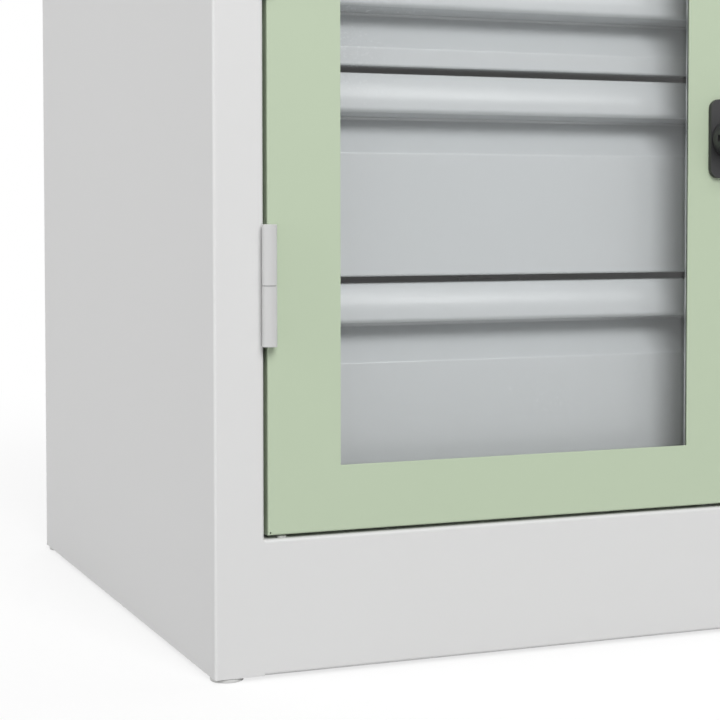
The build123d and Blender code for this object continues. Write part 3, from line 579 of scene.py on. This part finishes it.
class HeadBench(ShapeBench):
    """Screws, rivets and nuts: a crowned head with a recess, on a stem that may pass through it."""

    RISE_SHARES = (0.45, 0.78, 0.94, 1.0)
    NARROWING_SHARES = (0.0, 0.12, 0.32, 0.6)
    LOBE_SHARE = 0.17
    RECESS_FLOOR_SHARE = 0.88
    STEM_SIDES = 20
    CHAMFER_SHARE = 0.2
    SEED = 7

    def __init__(self) -> None:
        """Builds the tree."""
        numbers = ("Head Radius", "Head Height", "Crown", "Recess Radius", "Recess Depth", "Lobes")
        numbers += ("Stem Radius", "Stem Length", "Tip")
        super().__init__("headed_fixings", {**dict.fromkeys(numbers, "Float"), "Sides": "Int"})
        self.spread(self.joined(self.head(), self.stem()))

    def head(self) -> Wire:
        """The head, raised and narrowed in steps and then sunk in the middle.

        Returns:
            The head's mesh.
        """
        radius, height, crown = (self.given(name) for name in ("Head Radius", "Head Height", "Crown"))
        rim = height * self.RISE_SHARES[0]
        sizes = {"Vertices": self.given("Sides"), "Radius": radius, "Depth": rim}
        block = self.add("GeometryNodeMeshCylinder", {}, sizes)
        mesh, top = self.moved(block, rim * 0.5), self.other(block, "Top")
        width = 1.0 - crown * self.NARROWING_SHARES[0]
        for step in range(1, len(self.RISE_SHARES)):
            rise = height * (self.RISE_SHARES[step] - self.RISE_SHARES[step - 1])
            narrower = 1.0 - crown * self.NARROWING_SHARES[step]
            mesh, top = self.raised(mesh, top, rise, narrower / width)
            width = narrower
        mesh, top = self.raised(mesh, top, 0.0, self.given("Recess Radius") / (radius * width))
        mesh = self.lobed(mesh, top)
        return self.raised(mesh, top, 0.0 - self.given("Recess Depth"), self.RECESS_FLOOR_SHARE)[0]

    def raised(self, mesh: Wire, top: Wire, rise: Value, scale: Value) -> tuple[Wire, Wire]:
        """Extrudes the top face and scales it.

        Args:
            mesh: The mesh so far.
            top: Selection of its top face.
            rise: How far the face goes up.
            scale: How much it shrinks.

        Returns:
            The mesh and its new top face.
        """
        inputs = {"Mesh": mesh, "Selection": top, "Offset Scale": rise, "Individual": False}
        raised = self.add("GeometryNodeExtrudeMesh", {"mode": "FACES"}, inputs)
        face = self.other(raised, "Top")
        inputs = {"Geometry": raised, "Selection": face, "Scale": scale}
        return self.add("GeometryNodeScaleElements", {"domain": "FACE"}, inputs), face

    def lobed(self, mesh: Wire, top: Wire) -> Wire:
        """Draws the rim of the recess out into lobes.

        Args:
            mesh: The mesh so far.
            top: Selection of the recess.

        Returns:
            The mesh.
        """
        across = self.add("ShaderNodeSeparateXYZ", {}, {0: self.add("GeometryNodeInputPosition", {}, {})})
        along = self.other(across, "Y")
        angle = across.math("ARCTAN2", along, across) * self.given("Lobes")
        pull = across.math("COSINE", angle) * self.LOBE_SHARE
        offset = self.vector(across * pull, along * pull, 0.0)
        inputs = {"Geometry": mesh, "Selection": top, "Offset": offset}
        return self.add("GeometryNodeSetPosition", {}, inputs)

    def stem(self) -> Wire:
        """The stem, from its end up to the chamfered tip that may stand out of the head.

        Returns:
            The stem's mesh.
        """
        radius, length, tip = (self.given(name) for name in ("Stem Radius", "Stem Length", "Tip"))
        sizes = {"Vertices": self.STEM_SIDES, "Radius": radius, "Depth": length + tip}
        block = self.add("GeometryNodeMeshCylinder", {}, sizes)
        shaft = self.moved(block, (tip - length) * 0.5)
        chamfer = radius * self.CHAMFER_SHARE
        return self.raised(shaft, self.other(block, "Top"), chamfer, 1.0 - self.CHAMFER_SHARE)[0]


class ThreadBench(ShapeBench):
    """Threaded studs: a tube whose radius follows the thread's helix, chamfered at both ends."""

    AROUND = 20
    ALONG_PER_TURN = 6
    CORE_SHARE = 0.85
    SEAM = 0.01 * MM
    SEED = 3

    def __init__(self) -> None:
        """Builds the tree."""
        lengths = ("Crest Radius", "Root Radius", "Pitch", "Length")
        super().__init__("threaded_studs", dict.fromkeys(lengths, "Float"))
        crest, root, pitch, length = (self.given(name) for name in lengths)
        rows = length / pitch * self.ALONG_PER_TURN
        sizes = {"Size X": 1.0, "Size Y": 1.0, "Vertices X": self.AROUND + 1, "Vertices Y": rows}
        sheet = self.add("GeometryNodeMeshGrid", {}, sizes)
        across = self.add("ShaderNodeSeparateXYZ", {}, {0: self.add("GeometryNodeInputPosition", {}, {})})
        turn = across + 0.5
        height = (self.other(across, "Y") + 0.5) * length
        phase = turn.math("FRACT", height / pitch - turn)
        ridge = 1.0 - turn.math("ABSOLUTE", phase * 2.0 - 1.0)
        core = root * self.CORE_SHARE
        radius = root + (crest - root) * ridge
        for margin in (height, length - height):
            radius = radius.math("MINIMUM", radius, core + margin)
        angle = turn * math.tau
        x, y = (radius * angle.math(wave, angle) for wave in ("COSINE", "SINE"))
        inputs = {"Geometry": sheet, "Position": self.vector(x, y, height)}
        tube = self.add("GeometryNodeSetPosition", {}, inputs)
        sizes = {"Vertices": self.AROUND, "Radius": core}
        cap = self.add("GeometryNodeMeshCircle", {"fill_type": "NGON"}, sizes)
        end = self.add("GeometryNodeFlipFaces", {}, {"Mesh": cap})
        inputs = {"Geometry": self.joined(tube, end, self.moved(cap, length)), "Distance": self.SEAM}
        self.spread(self.add("GeometryNodeMergeByDistance", {}, inputs))


@dataclass(frozen=True)
class Fixing:
    """One kind of screw, rivet or nut, and how its head looks."""

    head_radius: float
    head_height: float
    stem_radius: float
    recess_radius: float
    recess_depth: float
    crown: float
    sides: int = 24
    drive: Drive = Drive.ROUND
    tip: float = 0.0

    def values(self, stem: float, material: bpy.types.Material) -> dict[str, Any]:
        """Inputs of the tree that makes it.

        Args:
            stem: Length of the stem below the head.
            material: Its finish.

        Returns:
            Values by the inputs' names.
        """
        return {
            "Head Radius": self.head_radius,
            "Head Height": self.head_height,
            "Crown": self.crown,
            "Recess Radius": self.recess_radius,
            "Recess Depth": self.recess_depth,
            "Lobes": float(self.drive.value),
            "Stem Radius": self.stem_radius,
            "Stem Length": stem,
            "Tip": self.tip,
            "Sides": self.sides,
            "Seed": HeadBench.SEED,
            "Material": material,
        }


@dataclass
class Assembly:
    """What the sub-assemblies with screws, rivets or nuts have: the finishes, and the tree of fixings."""

    palette: Palette
    heads: HeadBench

    def fix(
        self, node: str, kind: Fixing, places: list[Point], facing: Facing, stem: float, body: str
    ) -> None:
        """Sets fixings in place of one solid of the frame.

        Args:
            node: The solid that they stand for.
            kind: The kind of fixing.
            places: Where their heads seat.
            facing: The way that the heads face.
            stem: Length of their stems below the seat.
            body: The body that they move with.
        """
        slot = self.palette.slots[node]
        values = kind.values(stem, self.palette.materials[slot])
        piece = self.heads.bake(f"{node}_dressed", places, facing, values)
        self.palette.claim(piece, slot, body, node)


@dataclass
class Casing(Assembly):
    """Sheet-steel body: sides with their posts, top, plinth, floor and back, and the rivets of the back."""

    rivet: Fixing = Fixing(
        head_radius=3.2 * MM,
        head_height=1.2 * MM,
        stem_radius=1.6 * MM,
        recess_radius=1.1 * MM,
        recess_depth=0.5 * MM,
        crown=0.9,
    )
    rivet_rows: int = 6

    def build(self) -> None:
        """Paints the panels and rivets the back."""
        self.palette.paint("left_side_panel", "right_side_panel", "top_panel", "plinth_panel")
        self.palette.paint("bottom_panel", "back_panel", "hinge_side_filler")
        low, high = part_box("back_rivets")
        edge = self.rivet.head_radius
        seat = high[1] - self.rivet.head_height
        rows = spaced(low[2] + edge, high[2] - edge, self.rivet_rows)
        places = [(x, seat, z) for x in (low[0] + edge, high[0] - edge) for z in rows]
        self.fix("back_rivets", self.rivet, places, Facing.BACK, seat - low[1], "cabinet")


@dataclass
class DrawerStack(Assembly):
    """Uprights, rails with their screws, and the drawers that run on them."""

    screw: Fixing = Fixing(
        head_radius=4.0 * MM,
        head_height=1.4 * MM,
        stem_radius=2.0 * MM,
        recess_radius=1.7 * MM,
        recess_depth=0.8 * MM,
        crown=0.8,
        drive=Drive.STAR,
    )
    drawers: tuple[int, ...] = (1, 2, 3, 4, 5)
    rail_web: float = 1.5 * MM

    def build(self) -> None:
        """Paints the stack and screws its rails on."""
        self.palette.paint("left_uprights", "right_uprights", "left_slide_rails", "right_slide_rails")
        for number in self.drawers:
            parts = ("front", "grip", "box", "runners")
            self.palette.paint(*(f"drawer_{number}_{part}" for part in parts))
        self.screw_rails()

    def screw_rails(self) -> None:
        """Sets two screws in each rail, heads to the inside."""
        low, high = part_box("rail_screws")
        edge = self.screw.head_radius
        depths = (low[1] + edge, high[1] - edge)
        runners = [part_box(f"drawer_{number}_runners") for number in self.drawers]
        heights = [(bottom[2] + top[2]) / 2 for bottom, top in runners]
        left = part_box("left_slide_rails")[0][0] + self.rail_web
        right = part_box("right_slide_rails")[1][0] - self.rail_web
        slot = self.palette.slots["rail_screws"]
        values = self.screw.values(left - low[0], self.palette.materials[slot])
        for side, x, facing in (("left", left, Facing.RIGHT), ("right", right, Facing.LEFT)):
            places = [(x, y, z) for y in depths for z in heights]
            piece = self.heads.bake(f"rail_screws_{side}", places, facing, values)
            self.palette.claim(piece, slot, "cabinet", "rail_screws")


@dataclass
class GlazedDoor(Assembly):
    """Door leaf with its clamped pane, its hinges, and the buffers and glides that it closes on."""

    nut: Fixing = Fixing(
        head_radius=3.1 * MM,
        head_height=2.8 * MM,
        stem_radius=1.5 * MM,
        recess_radius=2.1 * MM,
        recess_depth=0.15 * MM,
        crown=0.2,
        sides=6,
        tip=3.3 * MM,
    )
    stud_out: float = 4.5 * MM
    first_stud: float = 32.0 * MM
    studs_up: int = 4
    studs_across: int = 3

    def build(self) -> None:
        """Paints the door and its hardware and clamps the pane."""
        self.palette.paint("door_leaf", "vision_pane", "pane_strips", "door_buffers", "door_glides")
        self.palette.paint("hinge_door_halves", "hinge_frame_halves", "hinge_pins", "hinge_washers")
        low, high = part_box("vision_pane")
        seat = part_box("pane_strips")[1][1]
        out, first = self.stud_out, self.first_stud
        rows = spaced(low[2] + first, high[2] - first, self.studs_up)
        columns = spaced(low[0] + first, high[0] - first, self.studs_across)
        places = [(x, seat, z) for x in (low[0] - out, high[0] + out) for z in rows]
        places += [(x, seat, z) for x in columns for z in (low[2] - out, high[2] + out)]
        self.fix("pane_fixings", self.nut, places, Facing.BACK, seat - low[1], "door")


@dataclass
class RodLock(Assembly):
    """Rosette, knob and key cylinder in front of the door, and the case, cam and rods behind it."""

    screw: Fixing = Fixing(
        head_radius=3.6 * MM,
        head_height=1.6 * MM,
        stem_radius=1.8 * MM,
        recess_radius=1.6 * MM,
        recess_depth=0.9 * MM,
        crown=0.8,
        drive=Drive.STAR,
    )

    def build(self) -> None:
        """Finishes the lock and screws its rosette on."""
        self.palette.paint("lock_rosette", "lock_knob", "lock_cylinder", "lock_spindle", "lock_cam")
        self.palette.paint("lock_case", "rod_guides", "upper_lock_rod", "lower_lock_rod")
        low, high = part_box("rosette_screws")
        edge = self.screw.head_radius
        seat = low[1] + self.screw.head_height
        places = [((low[0] + high[0]) / 2, seat, z) for z in (low[2] + edge, high[2] - edge)]
        self.fix("rosette_screws", self.screw, places, Facing.FRONT, high[1] - seat, "door")


@dataclass
class LevellingFeet:
    """Four screw feet: a moulded pad on a threaded stud, in brackets inside the plinth."""

    palette: Palette
    threads: ThreadBench
    pad_slot: str = "pale_grey_plastic"
    stud_slot: str = "zinc_plated_steel"
    crest: float = 4.0 * MM
    root: float = 3.35 * MM
    pitch: float = 1.25 * MM
    rim_height: float = 2.6 * MM
    hub_height: float = 7.0 * MM
    hub_radius: float = 8.0 * MM
    hollow: float = 0.6 * MM
    rim: float = 2.5 * MM
    round_off: float = 0.5 * MM
    chamfer: float = 0.8 * MM
    arc_steps: int = 4
    segments: int = 64

    def build(self) -> None:
        """Builds the feet and finishes their brackets."""
        self.palette.paint("foot_brackets")
        for row in ("front", "rear"):
            for side in ("left", "right"):
                self.foot(f"foot_{row}_{side}")

    def outline(self, radius: float) -> list[tuple[float, float]]:
        """Half section of the pad, from the hollow under it to the top of its hub.

        Args:
            radius: The pad's radius.

        Returns:
            Radius and height of each point.
        """
        arc = [math.pi / 2 * step / self.arc_steps for step in range(self.arc_steps + 1)]
        bend, inner = self.round_off, radius - self.rim
        waist, shoulder = radius - bend, self.rim_height - bend
        points = [(0.0, self.hollow), (inner - self.hollow, self.hollow), (inner, 0.0)]
        points += [(waist + bend * math.sin(angle), bend - bend * math.cos(angle)) for angle in arc]
        points += [(waist + bend * math.cos(angle), shoulder + bend * math.sin(angle)) for angle in arc]
        points += [(self.hub_radius, self.rim_height), (self.hub_radius, self.hub_height - self.chamfer)]
        points += [(self.hub_radius - self.chamfer, self.hub_height), (0.0, self.hub_height)]
        return points

    def foot(self, node: str) -> None:
        """Builds one foot.

        Args:
            node: The solid that it stands for.
        """
        low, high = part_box(node)
        x, y = (low[0] + high[0]) / 2, (low[1] + high[1]) / 2
        mesh = bpy.data.meshes.new(f"{node}_pad")
        mesh.from_pydata(*turned(self.outline((high[0] - low[0]) / 2), (x, y, low[2]), self.segments))
        mesh.materials.append(self.palette.materials[self.pad_slot])
        smooth(mesh)
        pad = bpy.data.objects.new(f"{node}_pad", mesh)
        bpy.context.scene.collection.objects.link(pad)
        self.palette.claim(pad, self.pad_slot, f"{node}_body", node)
        base = low[2] + self.hub_height - self.chamfer
        values = {
            "Crest Radius": self.crest,
            "Root Radius": self.root,
            "Pitch": self.pitch,
            "Length": high[2] - base,
            "Seed": ThreadBench.SEED,
            "Material": self.palette.materials[self.stud_slot],
        }
        stud = self.threads.bake(f"{node}_stud", [(x, y, base)], Facing.UP, values)
        self.palette.claim(stud, self.stud_slot, f"{node}_body", node)


@dataclass(frozen=True)
class Lamp:
    """One soft lamp, which isn't seen; one for gloss alone shows in shiny surfaces but lights nothing."""

    name: str
    place: Point
    width: float
    height: float
    power_w: float
    gloss_only: bool = False

    def hang(self, aim: Point) -> None:
        """Hangs the lamp.

        Args:
            aim: What it points at.
        """
        data = bpy.data.lights.new(self.name, "AREA")
        data.shape = "RECTANGLE"
        data.size, data.size_y = self.width, self.height
        data.energy = self.power_w
        lamp = bpy.data.objects.new(self.name, data)
        lamp.location = self.place
        lamp.rotation_mode = "QUATERNION"
        lamp.rotation_quaternion = (Vector(aim) - Vector(self.place)).to_track_quat("-Z", "Y")
        lamp.visible_camera = False
        lamp.visible_diffuse = not self.gloss_only
        bpy.context.scene.collection.objects.link(lamp)


@dataclass
class Studio:
    """White floor and world, soft lamps, and the camera."""

    camera_at: Point = (-0.6376, -1.5658, 0.3486)
    yaw: float = math.radians(22.55)
    pitch: float = math.radians(-2.41)
    lens_mm: float = 91.34
    shift: tuple[float, float] = (-0.05, -0.10)
    clip: tuple[float, float] = (0.05, 50.0)
    middle: Point = (0.0, 0.0, 0.35)
    lamps: tuple[Lamp, ...] = (
        Lamp("key_lamp", (-0.4, -5.8, 4.3), 3.6, 3.6, 357.0),
        Lamp("strip_lamp", (1.68, -3.61, 2.84), 0.7, 2.2, 38.0, gloss_only=True),
        Lamp("left_lamp", (-3.6, -0.1, 1.35), 2.4, 2.4, 54.0),
        Lamp("right_lamp", (3.6, 0.5, 1.35), 2.4, 2.4, 54.0),
        Lamp("back_lamp", (1.3, 4.0, 1.8), 2.4, 2.4, 66.0),
    )
    world_light: float = 0.25
    floor_half: float = 6.0
    floor_bounce: float = 0.5
    shadow_share: float = 0.25
    shadow_start: float = 0.65
    shadow_end: float = 1.95

    def seen(self, bench: Bench) -> Wire:
        """Tells the rays by which the background is seen, directly, in metal or through the pane.

        Args:
            bench: The tree that asks.

        Returns:
            One for those rays, zero for the rest.
        """
        camera = bench.add("ShaderNodeLightPath", {}, {}, "Is Camera Ray")
        seen = camera
        for name in ("Is Glossy Ray", "Is Transmission Ray"):
            seen = seen.math("MAXIMUM", seen, bench.other(camera, name))
        return seen

    def floor(self) -> None:
        """Lays a white floor that keeps the cabinet's shadow, which fades out with distance."""
        half = self.floor_half
        corners = [(x, y, 0.0) for x, y in ((-half, -half), (half, -half), (half, half), (-half, half))]
        mesh = bpy.data.meshes.new("floor")
        mesh.from_pydata(corners, [], [(0, 1, 2, 3)])
        floor = bpy.data.objects.new("floor", mesh)
        bpy.context.scene.collection.objects.link(floor)
        bench = PaintBench("studio_floor")
        seen = self.seen(bench)
        shade = bench.blend(solid(WHITE, self.floor_bounce), solid(WHITE), seen)
        dull = bench.add("ShaderNodeBsdfDiffuse", {}, {"Color": shade})
        glow = bench.add("ShaderNodeEmission", {}, {"Color": solid(WHITE), "Strength": 1.0})
        distance = bench.add("ShaderNodeVectorMath", {"operation": "LENGTH"}, {0: bench.place}, "Value")
        fade = (self.shadow_end - distance) / (self.shadow_end - self.shadow_start)
        near = bench.add("ShaderNodeClamp", {}, {"Value": fade})
        share = seen * (1.0 - self.shadow_share * near)
        surface = bench.add("ShaderNodeMixShader", {}, {0: share, 1: dull, 2: glow})
        mesh.materials.append(bench.show(surface))

    def world(self) -> None:
        """Makes a white world that lights the cabinet evenly."""
        world = bpy.data.worlds.new("studio_world")
        world.use_nodes = True
        bpy.context.scene.world = world
        bench = Bench(world.node_tree)
        seen = self.seen(bench)
        strength = seen + (1.0 - seen) * self.world_light
        light = bench.add("ShaderNodeBackground", {}, {"Color": solid(WHITE), "Strength": strength})
        bench.add("ShaderNodeOutputWorld", {}, {"Surface": light})

    def camera(self) -> None:
        """Sets up the camera at the photograph's viewing angle."""
        data = bpy.data.cameras.new("camera")
        data.lens = self.lens_mm
        data.shift_x, data.shift_y = self.shift
        data.clip_start, data.clip_end = self.clip
        camera = bpy.data.objects.new("camera", data)
        camera.location = self.camera_at
        camera.rotation_euler = (math.pi / 2 + self.pitch, 0.0, -self.yaw)
        bpy.context.scene.collection.objects.link(camera)
        bpy.context.scene.camera = camera

    def build(self) -> None:
        """Builds the whole studio."""
        bpy.context.scene.view_settings.view_transform = "Standard"
        self.floor()
        self.world()
        for lamp in self.lamps:
            lamp.hang(self.middle)
        self.camera()


def main() -> None:
    """Builds the cabinet's finish piece by piece and reports each one."""
    logging.basicConfig(level=logging.INFO, format="%(message)s")
    palette, heads = Palette(), HeadBench()
    for kind in (Casing, DrawerStack, GlazedDoor, RodLock):
        kind(palette, heads).build()
    LevellingFeet(palette, ThreadBench()).build()
    Studio().build()


if __name__ == "__main__":
    main()
